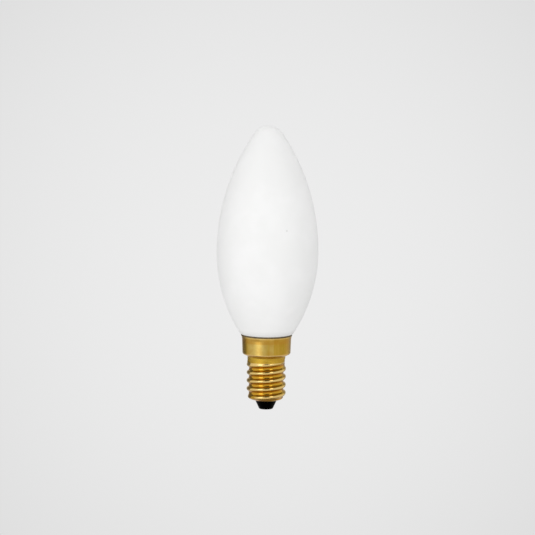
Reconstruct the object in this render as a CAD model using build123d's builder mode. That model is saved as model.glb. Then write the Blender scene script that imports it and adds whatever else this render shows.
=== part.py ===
from build123d import *
import os
from math import asin, atan2, cos, degrees, sin

# A candle bulb with a small screw cap, standing cap down along +Z.
# The origin is the middle of the contact's flat underside, and all sizes are in millimetres.

# Glass bulb, blown in one piece and sealed
overall_length = 98.3
glass_diameter = 35.0
belly_height = 28.5  # from the glass shoulder up to the widest place
tip_radius = 6.0
shoulder_overhang = 0.28  # of the glass beyond the cap's lip
shoulder_edge_radius = 1.2
neck_length = 5.25

# Brass cap, drawn from thin sheet
sheet = 0.3
hole_diameter = 7.5
dish_rise = 0.75  # of the sloping bottom, from the hole to the wall
dish_corner_radius = 1.0
wall_length = 14.84  # from the dish up to the skirt's shoulder
collar_diameter = 13.1  # of the plain wall that is left between the thread and the shoulder
collar_height = 0.8  # of its straight part
collar_taper = 0.8  # height over which the collar narrows to the thread
collar_bend_radius = 0.8
shoulder_rise = 0.9
shoulder_corner_radius = 0.45
skirt_diameter = 17.0
skirt_height = 6.3
skirt_draft = 0.18  # the foot's inset from the skirt's widest place
skirt_foot_radius = 0.6
lip_height = 1.1
lip_flare = 0.28
lip_bend_radius = 2.0

# Rolled thread, right-handed, with crest and root rounded alike
thread_major = 13.66
thread_depth = 0.8
thread_pitch = 2.822
thread_lead = 0.3  # of plain wall between the dish and the thread
thread_reach = 0.4  # of the thread up the collar's taper
runout_length = 1.0
crest_height = 2.74  # of the lowest full crest at +X, above the hole's edge
root_width = 0.27  # of plain wall left between two turns
root_sink = 0.03  # the rounded root's lowest line below the wall's face

# Black glass insulator, pressed into the cap's bottom
insulator_drop = 2.95  # below the cap's hole
insulator_edge_radius = 0.4
plug_height = 2.4  # inside the cap
plug_gap = 1.0  # between the plug and the cap's wall

# Contact plate in the insulator, and the solder that closes it over the wire
contact_diameter = 3.5
contact_thickness = 0.5
contact_proud = 0.1
contact_chamfer = 0.06
contact_margin = 0.65  # of insulator around the plate
wire_hole_diameter = 1.0
solder_margin = 0.5  # of bare plate around the solder
solder_slope = 0.45  # width of the button's rounded rim
solder_proud = 0.15

# Capping cement between the glass neck and the skirt
cement_thickness = 0.4
cement_depth = 3.2  # below the lip
bead_height = 0.45  # between the lip and the glass shoulder
bead_overhang = 0.08  # beyond the lip

# Heights from the contact's underside upwards
contact_bottom = solder_proud
contact_top = contact_bottom + contact_thickness
insulator_bottom = contact_bottom + contact_proud
hole_edge = insulator_bottom + insulator_drop
dish_top = hole_edge + dish_rise
wall_top = dish_top + wall_length
collar_top = wall_top - collar_height
collar_foot = collar_top - collar_taper
skirt_foot = wall_top + shoulder_rise
lip_top = skirt_foot + skirt_height
lip_foot = lip_top - lip_height
glass_shoulder = lip_top + bead_height
belly = glass_shoulder + belly_height
neck_bottom = glass_shoulder - neck_length

# Radii that more than one piece uses
wall_radius = thread_major / 2 - thread_depth
hole_radius = hole_diameter / 2
collar_radius = collar_diameter / 2
skirt_radius = skirt_diameter / 2
foot_radius = skirt_radius - skirt_draft
lip_radius = skirt_radius + lip_flare
neck_radius = foot_radius - sheet - cement_thickness
contact_radius = contact_diameter / 2
wire_radius = wire_hole_diameter / 2

os.makedirs("parts", exist_ok=True)


# Glass envelope: two long arcs meet upright at the belly, and a small one closes the tip
glass_radius = glass_diameter / 2
shoulder_radius = lip_radius + shoulder_overhang
tip_centre = overall_length - tip_radius
tip_rise = tip_centre - belly
upper_radius = (glass_radius**2 + tip_rise**2 - tip_radius**2) / (2 * (glass_radius - tip_radius))
upper_angle = degrees(atan2(tip_rise, upper_radius - glass_radius))
taper = glass_radius - shoulder_radius
lower_radius = (belly_height**2 + taper**2) / (2 * taper)
lower_angle = degrees(asin(belly_height / lower_radius))

with BuildPart() as glass_envelope:
    with BuildSketch(Plane.XZ) as glass_section:
        with BuildLine():
            CenterArc((0, tip_centre), tip_radius, upper_angle, 90 - upper_angle)
            CenterArc((glass_radius - upper_radius, belly), upper_radius, 0, upper_angle)
            CenterArc((glass_radius - lower_radius, belly), lower_radius, -lower_angle, lower_angle)
            Polyline(
                (shoulder_radius, glass_shoulder),
                (neck_radius, glass_shoulder),
                (neck_radius, neck_bottom),
                (0, neck_bottom),
                (0, overall_length),
            )
        make_face()
        shoulder_edge = glass_section.vertices().sort_by_distance((shoulder_radius, glass_shoulder))[0]
        fillet(shoulder_edge, shoulder_edge_radius)
    revolve(axis=Axis.Z)


# Cap before its thread is rolled: one sheet drawn into dish, wall, collar, shoulder, skirt and lip
with BuildPart() as drawn_cap:
    with BuildSketch(Plane.XZ):
        with BuildLine() as cap_line:
            Polyline(
                (hole_radius, hole_edge),
                (wall_radius, dish_top),
                (wall_radius, collar_foot),
                (collar_radius, collar_top),
                (collar_radius, wall_top),
                (foot_radius, skirt_foot),
                (skirt_radius, lip_foot),
                (lip_radius, lip_top),
            )
            for corner, radius in (
                ((wall_radius, dish_top), dish_corner_radius),
                ((wall_radius, collar_foot), collar_bend_radius),
                ((collar_radius, collar_top), collar_bend_radius),
                ((collar_radius, wall_top), shoulder_corner_radius),
                ((foot_radius, skirt_foot), skirt_foot_radius),
                ((skirt_radius, lip_foot), lip_bend_radius),
            ):
                fillet(cap_line.vertices().sort_by_distance(corner)[0], radius)
            offset(amount=sheet, side=Side.LEFT)
        make_face()
    revolve(axis=Axis.Z)


def thread_ridge(inset):
    """Return the thread's helical ridge for a face that lies inset below the cap's outside.

    Its section is a crest arc that runs into a root arc on each side with a common tangent.
    The ridge is turned down to nothing over the runout at both ends.
    """
    crest = thread_major / 2 - inset
    low = wall_radius - inset - root_sink
    depth = crest - low
    half_pitch = thread_pitch / 2
    both_arcs = (half_pitch**2 + depth**2) / (2 * depth)
    crest_arc = both_arcs / 2 - inset
    root_arc = both_arcs / 2 + inset
    flank_slope = asin(half_pitch / both_arcs)
    foot_slope = asin(root_width / 2 / root_arc)

    def on_root(slope):
        return low + root_arc * (1 - cos(slope)), half_pitch - root_arc * sin(slope)

    flank = on_root(flank_slope)
    foot = on_root(foot_slope)
    inner_corner = (low - sheet, foot[1])
    start = hole_edge + crest_height - thread_pitch
    bottom = dish_top + thread_lead
    top = collar_foot + thread_reach
    clear = crest + sheet
    section_plane = Plane((0, 0, start), x_dir=(1, 0, 0), z_dir=(0, -1, 0))
    with BuildPart() as ridge:
        with BuildLine() as path:
            Helix(thread_pitch, top - start + half_pitch, crest, center=(0, 0, start))
        with BuildSketch(section_plane):
            with BuildLine():
                ThreePointArc((flank[0], -flank[1]), (crest, 0), flank)
                root = ThreePointArc(flank, on_root((flank_slope + foot_slope) / 2), foot)
                side = Polyline(foot, inner_corner, (inner_corner[0], 0))
                mirror(objects=[root, side], about=Plane.XZ)
            make_face()
        sweep(path=path.wire(), is_frenet=True)
        with BuildSketch(Plane.XZ):
            with BuildLine():
                Polyline(
                    (0, bottom),
                    (low, bottom),
                    (clear, bottom + runout_length),
                    (clear, top - runout_length),
                    (low, top),
                    (0, top),
                    close=True,
                )
            make_face()
        revolve(axis=Axis.Z, mode=Mode.INTERSECT)
    return ridge.part


# Screw cap: rolling pushes the wall out along the thread, so the ridge shows inside as well
with BuildPart() as screw_cap:
    add(drawn_cap.part)
    add(thread_ridge(0))
    add(thread_ridge(sheet), mode=Mode.SUBTRACT)

# Contact plate: a brass disc with a hole for the wire
with BuildPart() as centre_contact:
    with BuildSketch(Plane.XY.offset(contact_bottom)):
        Circle(contact_radius)
        Circle(wire_radius, mode=Mode.SUBTRACT)
    extrude(amount=contact_thickness)
    lower_edges = centre_contact.edges().filter_by(GeomType.CIRCLE).group_by(Axis.Z)[0]
    chamfer(lower_edges.sort_by(SortBy.RADIUS)[-1], contact_chamfer)

# Contact solder: a low button, flat where the holder's spring presses, with a plug in the wire hole
solder_radius = contact_radius - solder_margin
solder_flat = solder_radius - solder_slope
with BuildPart() as contact_solder:
    with BuildSketch(Plane.XZ):
        with BuildLine():
            Line((0, 0), (solder_flat, 0))
            TangentArc((solder_flat, 0), (solder_radius, contact_bottom), tangent=(1, 0))
            Polyline(
                (solder_radius, contact_bottom),
                (wire_radius, contact_bottom),
                (wire_radius, contact_top),
                (0, contact_top),
                (0, 0),
            )
        make_face()
    revolve(axis=Axis.Z)

# Insulator: a truncated cone below the cap, in one with a plug that rests in the cap's dish
mid_sheet = sheet / 2
tip_edge = (contact_radius + contact_margin, insulator_bottom)
plug_radius = wall_radius - sheet - plug_gap
dish_slope = dish_rise / (wall_radius - hole_radius)
with BuildPart() as insulator:
    with BuildSketch(Plane.XZ) as insulator_section:
        with BuildLine():
            Polyline(
                (0, insulator_bottom),
                tip_edge,
                (hole_radius, hole_edge),
                (plug_radius, hole_edge + dish_slope * (plug_radius - hole_radius)),
                (plug_radius, hole_edge + plug_height),
                (0, hole_edge + plug_height),
                close=True,
            )
        make_face()
        fillet(insulator_section.vertices().sort_by_distance(tip_edge)[0], insulator_edge_radius)
    revolve(axis=Axis.Z)
    add(drawn_cap.part, mode=Mode.SUBTRACT)
    add(centre_contact.part, mode=Mode.SUBTRACT)
    add(contact_solder.part, mode=Mode.SUBTRACT)

# Capping cement: a ring in the skirt, squeezed out in a bead between the lip and the glass
with BuildPart() as capping_cement:
    with BuildSketch(Plane.XZ):
        with BuildLine():
            Polyline(
                (neck_radius, lip_top - cement_depth),
                (skirt_radius - mid_sheet, lip_top - cement_depth),
                (skirt_radius - mid_sheet, lip_foot),
                (lip_radius - mid_sheet, lip_top),
                (lip_radius + bead_overhang, lip_top),
                (lip_radius + bead_overhang, glass_shoulder),
                (neck_radius, glass_shoulder),
                close=True,
            )
        make_face()
    revolve(axis=Axis.Z)
    add(drawn_cap.part, mode=Mode.SUBTRACT)

pieces = {
    "glass_envelope": glass_envelope,
    "screw_cap": screw_cap,
    "capping_cement": capping_cement,
    "insulator": insulator,
    "centre_contact": centre_contact,
    "contact_solder": contact_solder,
}
for name, piece in pieces.items():
    piece.part.label = name
    export_step(piece.part, f"parts/{name}.step")
    print(name, round(piece.part.volume, 2), "mm3")
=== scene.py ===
from math import radians

import bpy
import numpy as np
from mathutils import Matrix, Vector


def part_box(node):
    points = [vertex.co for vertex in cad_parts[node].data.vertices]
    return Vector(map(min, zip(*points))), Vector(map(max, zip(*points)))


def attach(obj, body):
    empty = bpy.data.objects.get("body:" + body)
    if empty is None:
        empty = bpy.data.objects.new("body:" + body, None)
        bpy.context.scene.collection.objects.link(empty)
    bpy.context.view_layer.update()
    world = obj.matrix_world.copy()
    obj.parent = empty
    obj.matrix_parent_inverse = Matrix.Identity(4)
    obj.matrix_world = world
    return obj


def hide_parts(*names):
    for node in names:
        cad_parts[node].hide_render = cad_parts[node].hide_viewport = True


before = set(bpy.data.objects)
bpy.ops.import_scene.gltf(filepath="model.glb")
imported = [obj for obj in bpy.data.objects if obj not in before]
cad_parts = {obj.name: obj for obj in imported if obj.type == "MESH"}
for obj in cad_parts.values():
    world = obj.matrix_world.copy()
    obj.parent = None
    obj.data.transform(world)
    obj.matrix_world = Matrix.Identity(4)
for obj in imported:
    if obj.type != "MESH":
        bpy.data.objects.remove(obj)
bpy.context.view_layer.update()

bpy.context.scene.view_settings.view_transform = "Standard"
MM = 0.001


# Glass envelope. The bulb is blown in a mould from white opal glass and etched to a satin face.
# Its neck goes down into the brass cap and is held there by cement.

glass_low, glass_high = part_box("glass_envelope")
cement_low, cement_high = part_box("capping_cement")
glass_radius = (glass_high.y - glass_low.y) / 2
glass_tip = glass_high.z
glass_shoulder = cement_high.z
neck_bottom = glass_low.z
neck_radius = 7.62 * MM
belly = glass_shoulder + 28.5 * MM
tip_radius = 6.0 * MM
shoulder_radius = cement_high.y + 0.2 * MM
shoulder_edge = 1.2 * MM
glass_sides = 192

opal_white = (0.93, 0.93, 0.927, 1)
opal_shade = (0.905, 0.906, 0.9, 1)
# Painted shade: the glass is painted darker over its last few millimetres above the cement
opal_painted_shade = (0.80, 0.80, 0.785, 1)
painted_shade_height = 2.4 * MM
satin_least = 0.46
satin_spread = 0.12
speck_grey = (0.72, 0.72, 0.71, 1)
speck_height = 63.7 * MM
speck_turn = radians(22.3)
speck_size = 0.5 * MM


def arc(centre, radius, start, end, count):
    """Points (r, z) on a circle round centre, at count even steps of its angle from start to end."""
    angle = np.linspace(start, end, count)
    return np.stack([centre[0] + radius * np.cos(angle), centre[1] + radius * np.sin(angle)], axis=1)


def straight(start, end, count):
    """Points (r, z) at count even steps from start to end."""
    return np.linspace(start, end, count)


def whole_turn(sides):
    """Angles at even steps of one turn round Z, from +X on."""
    return np.linspace(0, 2 * np.pi, sides, endpoint=False)


def turned(name, radius, height, sides, loop=False, crease=radians(35)):
    """Surface turned round Z: point i, j is radius[i, j] out and height[i] up, at step j of the turn.

    A row of zero radius is one point on the axis. With loop the last row joins the first. Edges that
    bend by more than crease stay sharp.
    """
    rows = len(radius)
    turn = whole_turn(sides)
    radius = np.broadcast_to(radius, (rows, sides))
    points = np.stack([radius * np.cos(turn), radius * np.sin(turn), height + 0 * radius], axis=-1)
    number = np.arange(rows * sides).reshape(rows, sides)
    on_axis = np.abs(radius).max(axis=1) == 0
    number[on_axis] = number[on_axis, :1]
    kept, number = np.unique(number, return_inverse=True)
    number = number.reshape(rows, sides)
    above = np.roll(number, -1, axis=0)
    quads = np.stack([number, np.roll(number, -1, axis=1), np.roll(above, -1, axis=1), above], axis=-1)
    quads = (quads if loop else quads[:-1]).reshape(-1, 4)
    from_axis = quads[:, 0] == quads[:, 1]
    to_axis = quads[:, 2] == quads[:, 3]
    faces = quads[~(from_axis | to_axis)].tolist()
    faces += quads[from_axis & ~to_axis][:, [0, 2, 3]].tolist()
    faces += quads[to_axis & ~from_axis][:, [0, 1, 2]].tolist()
    mesh = bpy.data.meshes.new(name)
    mesh.from_pydata(points.reshape(-1, 3)[kept].tolist(), [], faces)
    mesh.shade_smooth()
    mesh.set_sharp_from_angle(angle=crease)
    piece = bpy.data.objects.new(name, mesh)
    bpy.context.collection.objects.link(piece)
    return piece


def node(tree, kind, inputs, **settings):
    """New shader node in tree. Each input is a constant, or the output of another node to link from."""
    made = tree.nodes.new("ShaderNode" + kind)
    for name, value in settings.items():
        setattr(made, name, value)
    for socket, value in inputs.items():
        if isinstance(value, bpy.types.NodeSocket):
            tree.links.new(value, made.inputs[socket])
        else:
            made.inputs[socket].default_value = value
    return made


def reckoned(tree, operation, *values):
    """Result of one Math node over the values."""
    return node(tree, "Math", dict(enumerate(values)), operation=operation).outputs[0]


def smooth(tree, value, low, high):
    """0 where value is below low and 1 above high, with an S-curve between; low may be the larger one."""
    inputs = {"Value": value, "From Min": low, "From Max": high}
    return node(tree, "MapRange", inputs, interpolation_type="SMOOTHSTEP").outputs[0]


def mixed(tree, share, first, second):
    """First colour with that share of the second over it, from the Mix node's sockets for colours."""
    return node(tree, "Mix", {0: share, 6: first, 7: second}, data_type="RGBA").outputs[2]


def new_finish(name, **constants):
    """New material with those constants on its Principled shader; returns it, its tree and that shader."""
    material = bpy.data.materials.new(name)
    material.use_nodes = True
    shader = material.node_tree.nodes["Principled BSDF"]
    for socket, value in constants.items():
        shader.inputs[socket.replace("_", " ")].default_value = value
    return material, material.node_tree, shader


def object_place(tree):
    """Coordinates of the point on the piece itself."""
    return node(tree, "TexCoord", {}).outputs["Object"]


def patches_group():
    """Node group of cloudy noise: its height, and a mask that is 0 below Low and 1 above High."""
    group = bpy.data.node_groups.new("patches", "ShaderNodeTree")
    for name, kind in (("Vector", "Vector"), ("Scale", "Float"), ("Low", "Float"), ("High", "Float")):
        group.interface.new_socket(name, in_out="INPUT", socket_type="NodeSocket" + kind)
    for name in ("Mask", "Height"):
        group.interface.new_socket(name, in_out="OUTPUT", socket_type="NodeSocketFloat")
    given = group.nodes.new("NodeGroupInput").outputs
    cloudy = {"Vector": given["Vector"], "Scale": given["Scale"], "Detail": 5, "Roughness": 0.55}
    noise = node(group, "TexNoise", cloudy).outputs[0]
    result = group.nodes.new("NodeGroupOutput").inputs
    group.links.new(smooth(group, noise, given["Low"], given["High"]), result["Mask"])
    group.links.new(noise, result["Height"])
    return group


patches = patches_group()


def patched(tree, place, scale, low=0.4, high=0.6):
    """Outputs of the patches group over those coordinates, with scale in patches per metre."""
    made = tree.nodes.new("ShaderNodeGroup")
    made.node_tree = patches
    tree.links.new(place, made.inputs["Vector"])
    for socket, value in (("Scale", scale), ("Low", low), ("High", high)):
        made.inputs[socket].default_value = value
    return made.outputs


def roughened(tree, shader, height, strength, depth):
    """Gives the shader a bump: height times depth, at that strength."""
    bump = node(tree, "Bump", {"Height": height, "Strength": strength, "Distance": depth})
    tree.links.new(bump.outputs[0], shader.inputs["Normal"])


tip_centre = glass_tip - tip_radius
tip_rise = tip_centre - belly
upper_arc = (glass_radius**2 + tip_rise**2 - tip_radius**2) / (2 * (glass_radius - tip_radius))
upper_angle = np.arctan2(tip_rise, upper_arc - glass_radius)
taper = glass_radius - shoulder_radius
drop = belly - glass_shoulder
lower_arc = (drop**2 + taper**2) / (2 * taper)
lower_centre = (glass_radius - lower_arc, belly)
edge_height = glass_shoulder + shoulder_edge
edge_angle = np.arcsin((edge_height - belly) / (lower_arc - shoulder_edge))
edge_centre = (lower_centre[0] + (lower_arc - shoulder_edge) * np.cos(edge_angle), edge_height)
glass_profile = np.concatenate([
    straight((0, neck_bottom), (neck_radius, neck_bottom), 4),
    straight((neck_radius, neck_bottom), (neck_radius, glass_shoulder), 6)[1:],
    straight((neck_radius, glass_shoulder), (edge_centre[0], glass_shoulder), 4)[1:],
    arc(edge_centre, shoulder_edge, -np.pi / 2, edge_angle, 10)[1:],
    arc(lower_centre, lower_arc, edge_angle, 0, 60)[1:],
    arc((glass_radius - upper_arc, belly), upper_arc, 0, upper_angle, 80)[1:],
    arc((0, tip_centre), tip_radius, upper_angle, np.pi / 2, 30)[1:],
])
glass_profile[[0, -1], 0] = 0
glass = turned("opal_glass_envelope", glass_profile[:, :1], glass_profile[:, 1:], glass_sides)

opal_glass, tree, shader = new_finish("opal_glass", IOR=1.5)
place = object_place(tree)
height = node(tree, "SeparateXYZ", {0: place}).outputs[2]
clouds = patched(tree, place, scale=60)
grain = patched(tree, place, scale=4500)
shade_by_cement = smooth(tree, height, glass_shoulder + painted_shade_height, glass_shoulder)
speck_out = glass_radius - upper_arc + np.sqrt(upper_arc**2 - (speck_height - belly) ** 2)
speck_place = Vector((speck_out * np.sin(speck_turn), -speck_out * np.cos(speck_turn), speck_height))
from_speck = node(tree, "VectorMath", {0: place, 1: speck_place}, operation="DISTANCE").outputs["Value"]
white = mixed(tree, clouds["Mask"], opal_white, opal_shade)
# Painted shade on the glass just above the cement
white = mixed(tree, shade_by_cement, white, opal_painted_shade)
white = mixed(tree, smooth(tree, from_speck, speck_size, 0), white, speck_grey)
tree.links.new(white, shader.inputs["Base Color"])
satin = reckoned(tree, "MULTIPLY_ADD", grain["Height"], satin_spread, satin_least)
tree.links.new(satin, shader.inputs["Roughness"])
roughened(tree, shader, grain["Height"], strength=0.12, depth=0.02 * MM)
glass.data.materials.append(opal_glass)
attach(glass, "root")
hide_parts("glass_envelope")


# Capping cement. A ring of resin cement fills the room between the glass neck and the skirt,
# and is baked hard there; a thin dark bead of it is squeezed out under the glass.

bead_height = 0.45 * MM
bead_radius = cement_high.y
bead_edge = 0.03 * MM
bead_wobble = 0.05 * MM
bead_waves = ((7, 0.4, 1.0), (17, 2.1, 1.0), (41, 1.2, 0.8))
lip_height = 1.1 * MM
lip_top = glass_shoulder - bead_height
lip_foot = lip_top - lip_height
lip_inner = 8.48 * MM
lip_outer = 8.79 * MM
lip_slant = 0.085 * MM
ring_at_foot = 8.12 * MM
ring_at_bend = 8.19 * MM
ring_at_lip = 8.46 * MM
cap_sides = 240

cement_dark = (0.06, 0.04, 0.016, 1)
cement_pale = (0.17, 0.12, 0.055, 1)


def waves(turn, parts):
    """Sum over the parts (count, phase, share) of share times sin(count times turn plus phase).

    It is divided by the sum of the shares, so it stays between -1 and 1.
    """
    count, phase, share = np.array(parts).T[:, :, None]
    return (share * np.sin(count * turn + phase)).sum(axis=0) / share.sum()


cement_profile = np.concatenate([
    straight((neck_radius, cement_low.z), (ring_at_foot, cement_low.z), 3),
    straight((ring_at_foot, cement_low.z), (ring_at_bend, lip_foot), 6)[1:],
    straight((ring_at_bend, lip_foot), (ring_at_lip, lip_top), 5)[1:],
    straight((lip_inner, lip_top + lip_slant), (lip_outer, lip_top), 4),
    straight((bead_radius, lip_top + bead_edge), (bead_radius, glass_shoulder - bead_edge), 5),
    straight((bead_radius - bead_edge, glass_shoulder), (neck_radius, glass_shoulder), 5),
])
squeezed = cement_profile[:, :1] > bead_radius - 2 * bead_edge
wobble = bead_wobble * (1 + waves(whole_turn(cap_sides), bead_waves)) / 2
cement = turned(
    "capping_cement_ring",
    cement_profile[:, :1] - squeezed * wobble,
    cement_profile[:, 1:],
    cap_sides,
    loop=True,
)

cement_finish, tree, shader = new_finish("cement", Roughness=0.9)
grit = patched(tree, object_place(tree), scale=2500)
tree.links.new(mixed(tree, grit["Mask"], cement_dark, cement_pale), shader.inputs["Base Color"])
roughened(tree, shader, grit["Height"], strength=0.6, depth=0.1 * MM)
cement.data.materials.append(cement_finish)
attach(cement, "root")
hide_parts("capping_cement")


# Screw cap. Thin brass sheet is drawn into a cup with a wider skirt, and its wall is rolled between
# two dies into a right-hand round thread. The skirt's lip is flared to take the glass.

sheet = 0.3 * MM
hole_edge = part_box("screw_cap")[0].z
hole_radius = 3.75 * MM
wall_radius = 6.03 * MM
dish_top = hole_edge + 0.75 * MM
wall_top = dish_top + 14.84 * MM
collar_radius = 6.55 * MM
collar_top = wall_top - 0.8 * MM
collar_foot = collar_top - 0.8 * MM
skirt_foot = wall_top + 0.9 * MM
foot_radius = 8.32 * MM
skirt_radius = 8.5 * MM
lip_radius = cement_high.y - 0.08 * MM
dish_bend = 1.0 * MM
collar_bend = 0.8 * MM
shoulder_bend = 0.45 * MM
foot_bend = 0.6 * MM
lip_bend = 2.0 * MM
sheet_step = 0.1 * MM

thread_crest = 6.83 * MM
thread_sink = 0.03 * MM
thread_pitch = 2.822 * MM
thread_start = hole_edge + 2.74 * MM
first_crest = dish_top + 0.2 * MM
last_crest = collar_foot + 0.4 * MM
runout = 0.95 * MM
last_slope = 1.3 * MM

brass_plain = (0.525, 0.32, 0.044, 1)
brass_olive = (0.44, 0.285, 0.024, 1)
# Paler brass for the skirt's painted highlights
brass_painted_highlight = (0.59, 0.43, 0.12, 1)
# Paler brass: wear on the crests and the lip's edge, and painted highlights over the last crest and along
# the lip
brass_wear_and_sheen = (0.80, 0.57, 0.225, 1)
brass_orange = (0.50, 0.265, 0.035, 1)
# Tarnish for real stains, also used as painted shade under the crests and in the corner over the collar
brass_tarnish_and_shade = (0.42, 0.17, 0.007, 1)
# Orange for the thread's roots, a painted reflection of brass in brass
brass_root_reflection = (0.65, 0.345, 0.03, 1)
brass_collar = (0.62, 0.41, 0.05, 1)
# Pale brass for the skirt's foot corner: wear and a painted highlight
brass_foot = (0.74, 0.49, 0.19, 1)
thread_dullness = 0.05
stain_dullness = 0.12
collar_dullness = 0.36
skirt_dullness = 0.19
drawn_stretch = (1, 1, 0.06)

# Sides of the skirt painted paler as painted highlights, and the cosines at which the painting starts and is
# full
painted_highlight_side = Vector((-0.39, -0.92, 0))
painted_highlight_side_ends = (0.84, 0.98)
painted_highlight_line = Vector((0.215, -0.977, 0))
painted_highlight_line_ends = (0.9936, 0.999)

# Radii and heights between which a tone comes in
root_ends = (wall_radius + 0.4 * MM, wall_radius + 0.1 * MM)
crest_ends = (thread_crest - 0.09 * MM, thread_crest - 0.02 * MM)
collar_ends = (collar_radius, collar_radius - 0.1 * MM)
# Along the lip's edge a pale line is painted on: wear and a painted highlight
lip_ends = (lip_top - 0.55 * MM, lip_top - 0.3 * MM)

# Bands of tone: from, to, and how softly they end; the last two count from the thread's crest
under_lip_band = (lip_foot - 0.8 * MM, lip_foot + 0.4 * MM, 0.5 * MM)
# At the skirt's foot corner a pale line is painted on: wear and a painted highlight
foot_band = (skirt_foot + 0.05 * MM, skirt_foot + 0.35 * MM, 0.2 * MM)
# In the corner over the collar a dark band is painted on as painted shade
corner_shade_band = (wall_top + 0.15 * MM, wall_top + 0.45 * MM, 0.2 * MM)
collar_band = (wall_top - 1.75 * MM, wall_top, 0.35 * MM)
last_turn_band = (last_crest - thread_pitch + 0.5 * MM, wall_top - 1.95 * MM, 0.3 * MM)
# Over the last crest a pale band is painted on as a painted highlight
over_crest_highlight_band = (0, 0.55 * MM, 0.25 * MM)
# Under each crest a dark band is painted on as painted shade
under_crest_shade_band = (-1.2 * MM, -0.65 * MM, 0.25 * MM)


def stepped(start, end, step):
    """Points (r, z) from start to end, no further apart than step."""
    return straight(start, end, 2 + int(np.linalg.norm(np.subtract(end, start)) / step))


def rounded(corners, radii, step, arc_step=radians(7)):
    """Points (r, z) along a polyline, with each inner corner replaced by an arc that touches both sides."""
    corners = np.array(corners)
    runs = []
    start = corners[0]
    for before, corner, after, radius in zip(corners, corners[1:], corners[2:], radii):
        come = (corner - before) / np.linalg.norm(corner - before)
        go = (after - corner) / np.linalg.norm(after - corner)
        bend = np.arctan2(come[0] * go[1] - come[1] * go[0], come @ go)
        reach = radius * np.tan(abs(bend) / 2)
        inward = np.sign(bend) * np.array([-come[1], come[0]])
        touch = corner - reach * come
        first = np.arctan2(-inward[1], -inward[0])
        count = 2 + int(abs(bend) / arc_step)
        runs.append(stepped(start, touch, step)[:-1])
        runs.append(arc(touch + radius * inward, radius, first, first + bend, count)[:-1])
        start = corner + reach * go
    runs.append(stepped(start, corners[-1], step))
    return np.concatenate(runs)


def grown(room):
    """0 at the thread's end and 1 a runout away from it, with an S-curve between."""
    share = np.clip(room / runout, 0, 1)
    return share**2 * (3 - 2 * share)


def thread_rise(height, turn, inset):
    """How far the thread stands out from the wall at a height and turn, for a face inset below the outside.

    Distance from the nearest turn of the helix gives a round crest that runs into a round root with a
    common tangent. The rise grows from nothing over the runout at both ends.
    """
    depth = thread_crest - wall_radius + thread_sink
    half = thread_pitch / 2
    both_arcs = (half**2 + depth**2) / (2 * depth)
    crest = both_arcs / 2 - inset
    root = both_arcs / 2 + inset
    turns = (height - thread_start) / thread_pitch - turn / (2 * np.pi)
    away = np.abs(turns - np.round(turns)) * thread_pitch
    flank = crest * half / both_arcs
    on_crest = depth - crest + np.sqrt(np.maximum(crest**2 - away**2, 0))
    on_root = root - np.sqrt(np.maximum(root**2 - (half - away) ** 2, 0))
    rise = np.where(away < flank, on_crest, on_root) - thread_sink
    middle = thread_start + (np.round(turns) + turn / (2 * np.pi)) * thread_pitch
    return rise * grown(np.minimum(middle - first_crest, last_crest - middle))


def threaded(plain, height, turn, inset):
    """Radius of the threaded wall: the larger of the plain drawn wall and the thread on the straight wall.

    Above the last turn the wall falls from the crest only as far as the collar, along a straight slope.
    Where the crest dies away the wall stays at the collar.
    """
    straight_wall = np.minimum(plain, wall_radius - inset)
    turns = np.floor((height - thread_start) / thread_pitch - turn / (2 * np.pi))
    crest_below = thread_start + (turns + turn / (2 * np.pi)) * thread_pitch
    is_last = 1 - grown(last_crest - crest_below - thread_pitch)
    collar_rise = collar_radius - wall_radius
    crest_share = grown(last_crest - crest_below)
    crest_rise = np.maximum((thread_crest - wall_radius) * crest_share, collar_rise * (1 - crest_share))
    fallen = np.clip((height - crest_below) / last_slope, 0, 1)
    run_in = crest_rise + (collar_rise - crest_rise) * fallen
    rise = np.maximum(thread_rise(height, turn, inset), is_last * run_in)
    return np.maximum(plain, straight_wall + rise)


outside = rounded(
    [
        (hole_radius, hole_edge),
        (wall_radius, dish_top),
        (wall_radius, collar_foot),
        (collar_radius, collar_top),
        (collar_radius, wall_top),
        (foot_radius, skirt_foot),
        (skirt_radius, lip_foot),
        (lip_radius, lip_top),
    ],
    [dish_bend, collar_bend, collar_bend, shoulder_bend, foot_bend, lip_bend],
    sheet_step,
)
# The inner face lies one sheet's thickness in, and runs back to the hole with half as many points
along = np.gradient(outside, axis=0)
along /= np.linalg.norm(along, axis=1, keepdims=True)
inside = (outside + sheet * np.stack([-along[:, 1], along[:, 0]], axis=1))[::-2]
outer_height = outside[:, 1:]
inner_height = inside[:, 1:]
turn = whole_turn(cap_sides)
cap = turned(
    "brass_screw_cap",
    np.concatenate([
        threaded(outside[:, :1], outer_height, turn, 0),
        threaded(inside[:, :1], inner_height, turn, sheet),
    ]),
    np.concatenate([outer_height, inner_height]),
    cap_sides,
    loop=True,
)


def both(tree, first, second):
    """Product of two masks: 1 only where both are."""
    return reckoned(tree, "MULTIPLY", first, second)


def band(tree, value, low, high, soft):
    """1 where value lies between low and high, falling to 0 over soft beyond both."""
    return both(tree, smooth(tree, value, low - soft, low), smooth(tree, value, high + soft, high))


def turned_to(tree, facing, side):
    """Cosine of the angle between the way the surface faces and that side."""
    return node(tree, "VectorMath", {0: facing, 1: side}, operation="DOT_PRODUCT").outputs["Value"]


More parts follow.
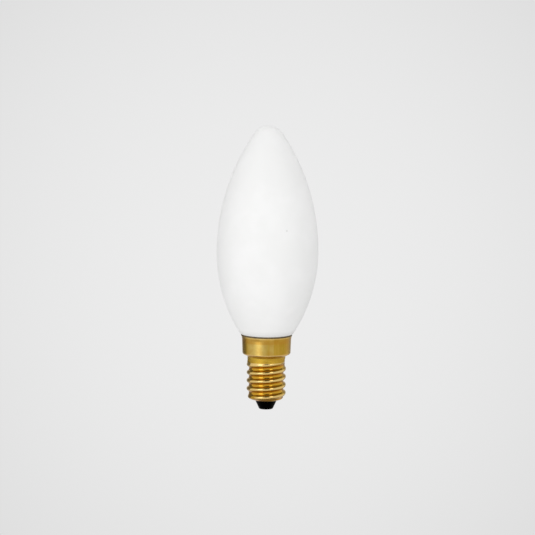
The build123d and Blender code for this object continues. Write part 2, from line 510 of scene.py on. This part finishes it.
brass, tree, shader = new_finish("brass", Metallic=1.0)
place = object_place(tree)
x, y, height = node(tree, "SeparateXYZ", {0: place}).outputs
across = node(tree, "CombineXYZ", {0: x, 1: y}).outputs[0]
out = node(tree, "VectorMath", {0: across}, operation="LENGTH").outputs["Value"]
facing = node(tree, "VectorMath", {0: across}, operation="NORMALIZE").outputs[0]
drawn = node(tree, "Mapping", {"Vector": place, "Scale": drawn_stretch}).outputs[0]
streaks = patched(tree, drawn, scale=1400, low=0.35, high=0.65)
stains = patched(tree, place, scale=350, low=0.42, high=0.62)
risen = reckoned(tree, "MULTIPLY", reckoned(tree, "ARCTAN2", y, x), thread_pitch / (2 * np.pi))
above_start = reckoned(tree, "SUBTRACT", reckoned(tree, "SUBTRACT", height, thread_start), risen)
above_crest = reckoned(tree, "WRAP", above_start, thread_pitch / 2, -thread_pitch / 2)

on_skirt = smooth(tree, height, wall_top, skirt_foot)
on_thread = reckoned(tree, "SUBTRACT", 1.0, on_skirt)
on_collar = band(tree, height, *collar_band)
on_painted_highlight_side = both(tree, smooth(tree, turned_to(tree, facing, painted_highlight_side), *painted_highlight_side_ends), on_skirt)
on_painted_highlight_line = both(tree, smooth(tree, turned_to(tree, facing, painted_highlight_line), *painted_highlight_line_ends), on_skirt)
in_root_painted_reflection = both(tree, smooth(tree, out, *root_ends), on_thread)
under_crest_painted_shade = both(tree, band(tree, above_crest, *under_crest_shade_band), smooth(tree, out, *collar_ends))
over_last_painted_highlight = both(tree, band(tree, above_crest, *over_crest_highlight_band), band(tree, height, *last_turn_band))
on_crest = both(tree, smooth(tree, out, *crest_ends), on_thread)

colour = brass_plain
for share, mask, tone in (
    (0.8, streaks["Mask"], brass_olive),
    (0.6, on_collar, brass_collar),
    # Painted highlights: the skirt's front left and a thin line right of its middle are painted paler
    (0.9, on_painted_highlight_side, brass_painted_highlight),
    (0.6, on_painted_highlight_line, brass_painted_highlight),
    (0.65, band(tree, height, *under_lip_band), brass_orange),
    (0.25, stains["Mask"], brass_tarnish_and_shade),
    # Painted reflection in the thread's roots
    (0.7, in_root_painted_reflection, brass_root_reflection),
    # Painted shade under the crests
    (0.75, under_crest_painted_shade, brass_tarnish_and_shade),
    # Painted shade in the corner over the collar
    (0.9, band(tree, height, *corner_shade_band), brass_tarnish_and_shade),
    # Painted highlight over the last crest
    (0.9, over_last_painted_highlight, brass_wear_and_sheen),
    (0.9, on_crest, brass_wear_and_sheen),
    # Wear and a painted highlight at the skirt's foot corner
    (0.7, band(tree, height, *foot_band), brass_foot),
    # Wear and a painted highlight along the lip's edge
    (0.4, smooth(tree, height, *lip_ends), brass_wear_and_sheen),
):
    colour = mixed(tree, reckoned(tree, "MULTIPLY", mask, share), colour, tone)
tree.links.new(colour, shader.inputs["Base Color"])
dull = reckoned(tree, "MULTIPLY_ADD", stains["Height"], stain_dullness, thread_dullness)
dull = reckoned(tree, "MULTIPLY_ADD", on_collar, collar_dullness, dull)
dull = reckoned(tree, "MULTIPLY_ADD", on_skirt, skirt_dullness, dull)
tree.links.new(dull, shader.inputs["Roughness"])
roughened(tree, shader, streaks["Height"], strength=0.25, depth=0.02 * MM)
cap.data.materials.append(brass)
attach(cap, "root")
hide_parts("screw_cap")


# Insulator. Black glass is pressed hot into the cap's bottom: it grips the hole's edge from inside
# and stands below it as a short cone that keeps the contact away from the brass.

insulator_low, insulator_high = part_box("insulator")
contact_low, contact_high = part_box("centre_contact")
contact_radius = contact_high.y
plug_radius = insulator_high.y
tip_edge = contact_radius + 0.65 * MM
tip_rounding = 0.4 * MM
cone_step = 0.12 * MM
insulator_sides = 128

black_glass = (0.0004, 0.0003, 0.0003, 1)
dusty_black = (0.0012, 0.001, 0.001, 1)
gloss_dullness = 0.12
dust_dullness = 0.25

dish_slope = (dish_top - hole_edge) / (wall_radius - hole_radius)
dish_lean = np.arctan(dish_slope)
grip_radius = hole_radius - sheet * np.sin(dish_lean)
grip_height = hole_edge + sheet * np.cos(dish_lean)
seat_height = grip_height + dish_slope * (plug_radius - grip_radius)
cone = [(contact_radius, insulator_low.z), (tip_edge, insulator_low.z), (hole_radius, hole_edge)]
insulator_profile = np.concatenate([
    straight((0, contact_high.z), (contact_radius, contact_high.z), 4),
    straight((contact_radius, contact_high.z), (contact_radius, insulator_low.z), 4)[1:],
    rounded(cone, [tip_rounding], cone_step)[1:],
    straight((grip_radius, grip_height), (plug_radius, seat_height), 8),
    straight((plug_radius, insulator_high.z), (0, insulator_high.z), 6),
])
insulator_profile[[0, -1], 0] = 0
insulator = turned("black_insulator", insulator_profile[:, :1], insulator_profile[:, 1:], insulator_sides)

insulator_finish, tree, shader = new_finish("black_glass", IOR=1.5, Specular_IOR_Level=0.012)
dust = patched(tree, object_place(tree), scale=900, low=0.5, high=0.75)
tree.links.new(mixed(tree, dust["Mask"], black_glass, dusty_black), shader.inputs["Base Color"])
dull = reckoned(tree, "MULTIPLY_ADD", dust["Mask"], dust_dullness, gloss_dullness)
tree.links.new(dull, shader.inputs["Roughness"])
roughened(tree, shader, dust["Height"], strength=0.2, depth=0.05 * MM)
insulator.data.materials.append(insulator_finish)
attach(insulator, "root")
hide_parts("insulator")


# Centre contact. A stamped brass disc with a hole for the lead wire is set in the insulator's end
# while the glass is soft, and stands a little proud of it.

wire_radius = 0.5 * MM
contact_bevel = 0.06 * MM
contact_sides = 96

contact_brass = (0.52, 0.35, 0.1, 1)
contact_dullness = 0.15
contact_stain_dullness = 0.3

contact_profile = np.concatenate([
    straight((wire_radius, contact_low.z), (contact_radius - contact_bevel, contact_low.z), 8),
    straight((contact_radius, contact_low.z + contact_bevel), (contact_radius, contact_high.z), 4),
    straight((contact_radius, contact_high.z), (wire_radius, contact_high.z), 4)[1:],
])
contact = turned("contact_plate", contact_profile[:, :1], contact_profile[:, 1:], contact_sides, loop=True)

contact_finish, tree, shader = new_finish("contact_brass", Metallic=1.0)
stains = patched(tree, object_place(tree), scale=1200, low=0.4, high=0.65)
tree.links.new(mixed(tree, stains["Mask"], contact_brass, brass_tarnish_and_shade), shader.inputs["Base Color"])
dull = reckoned(tree, "MULTIPLY_ADD", stains["Height"], contact_stain_dullness, contact_dullness)
tree.links.new(dull, shader.inputs["Roughness"])
contact.data.materials.append(contact_finish)
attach(contact, "root")
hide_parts("centre_contact")


# Contact solder. Tin solder runs into the hole round the lead wire and sets as a low button,
# which the holder's spring presses flat in the middle.

solder_low, solder_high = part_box("contact_solder")
solder_radius = solder_high.y
solder_flat = solder_radius - 0.45 * MM
solder_lobes = 0.09
solder_waves = ((2, 0.7, 1.0), (5, 1.9, 0.6))

solder_bright = (0.62, 0.61, 0.58, 1)
solder_dull = (0.36, 0.355, 0.34, 1)
solder_dullness = 0.12
frost_dullness = 0.4

rim_angle = np.linspace(0, np.pi / 2, 10)
rim = np.stack([
    solder_flat + (solder_radius - solder_flat) * np.sin(rim_angle),
    solder_low.z + (contact_low.z - solder_low.z) * (1 - np.cos(rim_angle)),
], axis=1)
solder_profile = np.concatenate([
    straight((0, solder_low.z), (solder_flat, solder_low.z), 6),
    rim[1:],
    straight((solder_radius, contact_low.z), (wire_radius, contact_low.z), 4)[1:],
    straight((wire_radius, contact_low.z), (wire_radius, solder_high.z), 4)[1:],
    straight((wire_radius, solder_high.z), (0, solder_high.z), 3)[1:],
])
solder_profile[[0, -1], 0] = 0
lobes = solder_lobes * (1 + waves(whole_turn(contact_sides), solder_waves)) / 2
share_of_rim = np.clip((solder_profile[:, :1] - wire_radius) / (solder_radius - wire_radius), 0, 1)
solder = turned(
    "solder_button",
    solder_profile[:, :1] * (1 - share_of_rim * lobes),
    solder_profile[:, 1:],
    contact_sides,
)

solder_finish, tree, shader = new_finish("solder", Metallic=1.0)
frosted = patched(tree, object_place(tree), scale=2200, low=0.4, high=0.65)
tree.links.new(mixed(tree, frosted["Mask"], solder_bright, solder_dull), shader.inputs["Base Color"])
dull = reckoned(tree, "MULTIPLY_ADD", frosted["Height"], frost_dullness, solder_dullness)
tree.links.new(dull, shader.inputs["Roughness"])
roughened(tree, shader, frosted["Height"], strength=0.4, depth=0.05 * MM)
solder.data.materials.append(solder_finish)
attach(solder, "root")
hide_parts("contact_solder")


# Stage. A pale sheet of paper hangs behind the bulb and a pale floor lies far below it, in a room of
# even soft light. The paper grows a little darker away from the middle of the picture.

view_middle = Vector((0.07 * MM, 0, 49.53 * MM))
camera_place = Vector((0.07 * MM, -600 * MM, 118.33 * MM))
backdrop_pale = 0.843
backdrop_fade = 0.50
backdrop_away = 1.5
backdrop_half = 0.75
floor_pale = (backdrop_pale, backdrop_pale, backdrop_pale, 1)
floor_lift = 0.225
floor_half = 6.0
floor_height = -1.5
level_light = 0.79
ceiling_light = 0.715
right_fall = 0.025
light_white = (1, 1, 1, 1)


def sheet_of(name, middle, sideways, upright):
    """Flat four-cornered surface of the stage; sideways and upright reach from its middle to its edges."""
    corners = [
        middle - sideways - upright,
        middle + sideways - upright,
        middle + sideways + upright,
        middle - sideways + upright,
    ]
    mesh = bpy.data.meshes.new(name)
    mesh.from_pydata([tuple(corner) for corner in corners], [], [(0, 1, 2, 3)])
    made = bpy.data.objects.new(name, mesh)
    bpy.context.collection.objects.link(made)
    return made


def paper_finish(name):
    """New material with no shader yet, and its node tree."""
    material = bpy.data.materials.new(name)
    material.use_nodes = True
    material.node_tree.nodes.clear()
    return material, material.node_tree


def seen_in_gloss(tree):
    """1 for the rays of gloss and of clear glass, and 0 for the others."""
    rays = node(tree, "LightPath", {}).outputs
    return reckoned(tree, "MAXIMUM", rays["Is Glossy Ray"], rays["Is Transmission Ray"])


def seen_directly(tree):
    """1 for the rays of the camera, of gloss and of clear glass, and 0 for the rays that carry light."""
    camera_ray = node(tree, "LightPath", {}).outputs["Is Camera Ray"]
    return reckoned(tree, "MAXIMUM", camera_ray, seen_in_gloss(tree))


def shown(tree, colour, matt, seen):
    """Surface that shows its colour evenly where seen is 1, and is the matt shader where it is 0."""
    glow = node(tree, "Emission", {"Color": colour}).outputs[0]
    surface = node(tree, "MixShader", {0: seen, 1: matt, 2: glow}).outputs[0]
    node(tree, "OutputMaterial", {"Surface": surface})


sight = (view_middle - camera_place).normalized()
aside = sight.cross(Vector((0, 0, 1))).normalized()
upward = aside.cross(sight)
backdrop_middle = view_middle + sight * backdrop_away
backdrop = sheet_of("backdrop", backdrop_middle, backdrop_half * aside, backdrop_half * upward)
backdrop_paper, tree = paper_finish("backdrop_paper")
ends = {0: object_place(tree), 1: backdrop_middle}
away = node(tree, "VectorMath", ends, operation="DISTANCE").outputs["Value"]
level = reckoned(tree, "MULTIPLY_ADD", reckoned(tree, "MULTIPLY", away, away), -backdrop_fade, backdrop_pale)
colour = node(tree, "CombineColor", {0: level, 1: level, 2: level}).outputs[0]
matt = node(tree, "BsdfDiffuse", {"Color": colour}).outputs[0]
shown(tree, colour, matt, seen_directly(tree))
backdrop.data.materials.append(backdrop_paper)

floor_middle = Vector((0, 0, floor_height))
floor = sheet_of("floor", floor_middle, Vector((floor_half, 0, 0)), Vector((0, floor_half, 0)))
floor_paper, tree = paper_finish("floor_paper")
camera_ray = node(tree, "LightPath", {}).outputs["Is Camera Ray"]
matt = node(tree, "BsdfDiffuse", {"Color": floor_pale}).outputs[0]
lift = node(tree, "Emission", {"Strength": reckoned(tree, "MULTIPLY", camera_ray, floor_lift)}).outputs[0]
lifted = node(tree, "AddShader", {0: matt, 1: lift}).outputs[0]
shown(tree, floor_pale, lifted, seen_in_gloss(tree))
floor.data.materials.append(floor_paper)

world = bpy.data.worlds.new("soft_room")
bpy.context.scene.world = world
world.use_nodes = True
tree = world.node_tree
tree.nodes.clear()
direction = node(tree, "TexCoord", {}).outputs["Generated"]
rightwards, _, upwards = node(tree, "SeparateXYZ", {0: direction}).outputs
rising = {"Value": upwards, "To Min": level_light, "To Max": ceiling_light}
light = node(tree, "MapRange", rising).outputs[0]
light = reckoned(tree, "MULTIPLY_ADD", rightwards, -right_fall, light)
room = node(tree, "Background", {"Color": light_white, "Strength": light}).outputs[0]
paper = node(tree, "Background", {"Color": light_white, "Strength": backdrop_pale}).outputs[0]
around = node(tree, "MixShader", {0: seen_directly(tree), 1: room, 2: paper}).outputs[0]
node(tree, "OutputWorld", {"Surface": around})


# Lights. Soft boxes to the left and right of the camera and below the bulb shine in the brass, two more
# only give light, and cards that are seen in the gloss alone give glass and brass their dark edges.


def faces_bulb(made, azimuth, elevation, away):
    """Puts a light or card at those angles from the camera's side and that far away, turned to the bulb."""
    turn = radians(azimuth)
    rise = radians(elevation)
    towards = Vector((np.sin(turn) * np.cos(rise), -np.cos(turn) * np.cos(rise), np.sin(rise)))
    spot = Matrix.Translation(view_middle + away * towards)
    made.matrix_world = spot @ towards.to_track_quat("Z", "Y").to_matrix().to_4x4()
    made.visible_camera = False


def soft_box(name, azimuth, elevation, away, width, height, glow, in_gloss):
    """Rectangular area light; glow is the radiance of its face, and in_gloss says whether gloss shows it."""
    lamp = bpy.data.lights.new(name, "AREA")
    lamp.shape = "RECTANGLE"
    lamp.size = width
    lamp.size_y = height
    lamp.energy = glow * np.pi * width * height
    made = bpy.data.objects.new(name, lamp)
    bpy.context.collection.objects.link(made)
    faces_bulb(made, azimuth, elevation, away)
    made.visible_glossy = in_gloss


def card(name, azimuth, elevation, away, width, height, grey):
    """Matt card of that width, height and grey, which only gloss shows."""
    made = sheet_of(name, Vector((0, 0, 0)), Vector((width / 2, 0, 0)), Vector((0, height / 2, 0)))
    made.data.materials.append(new_finish(name, Base_Color=(grey, grey, grey, 1), Roughness=1.0)[0])
    faces_bulb(made, azimuth, elevation, away)
    made.visible_diffuse = False
    made.visible_shadow = False


# Name, azimuth and elevation in degrees, distance, width and height in metres, glow, seen in gloss
for box in (
    ("left_box", -36, 12, 0.9, 0.42, 1.2, 0.75, True),
    ("left_wash", -41, 12, 0.92, 0.64, 1.2, 0.25, True),
    ("far_left_box", -70, 10, 0.9, 0.5, 1.0, 0.1, True),
    ("right_box", 31, 24, 0.9, 0.26, 0.8, 1.2, True),
    ("low_box", 0, -58, 0.9, 0.8, 0.35, 1.1, True),
    ("fill_box", 40, 50, 0.9, 0.6, 0.7, 0.40, False),
    ("back_box", -168, 15, 0.9, 0.5, 1.0, 1.0, False),
):
    soft_box(*box)

# Name, azimuth and elevation in degrees, distance, width and height in metres, grey
for board in (
    ("left_card", -131, 4, 0.6, 0.48, 0.7, 0.25),
    ("right_card", 145, 0, 0.6, 0.3, 0.7, 0.55),
    ("ceiling_card", 0, 90, 0.8, 1.8, 1.8, 0.2),
    ("floor_card", 0, -90, 0.35, 0.5, 0.5, 0.4),
    ("camera_card", 2, 34, 0.68, 0.30, 0.66, 0.22),
):
    card(*board)


# Camera. A long lens looks at the bulb's middle from a little above, turned a little on its own axis
# as the photograph is.

camera_lens = 118.0
camera_film = 36.0
camera_roll = radians(0.57)

camera_data = bpy.data.cameras.new("camera")
camera_data.sensor_fit = "HORIZONTAL"
camera_data.sensor_width = camera_film
camera_data.lens = camera_lens
camera = bpy.data.objects.new("camera", camera_data)
bpy.context.collection.objects.link(camera)
camera.location = camera_place
looking = sight.to_track_quat("-Z", "Y").to_matrix()
camera.rotation_euler = (looking @ Matrix.Rotation(camera_roll, 3, "Z")).to_euler()
bpy.context.scene.camera = camera
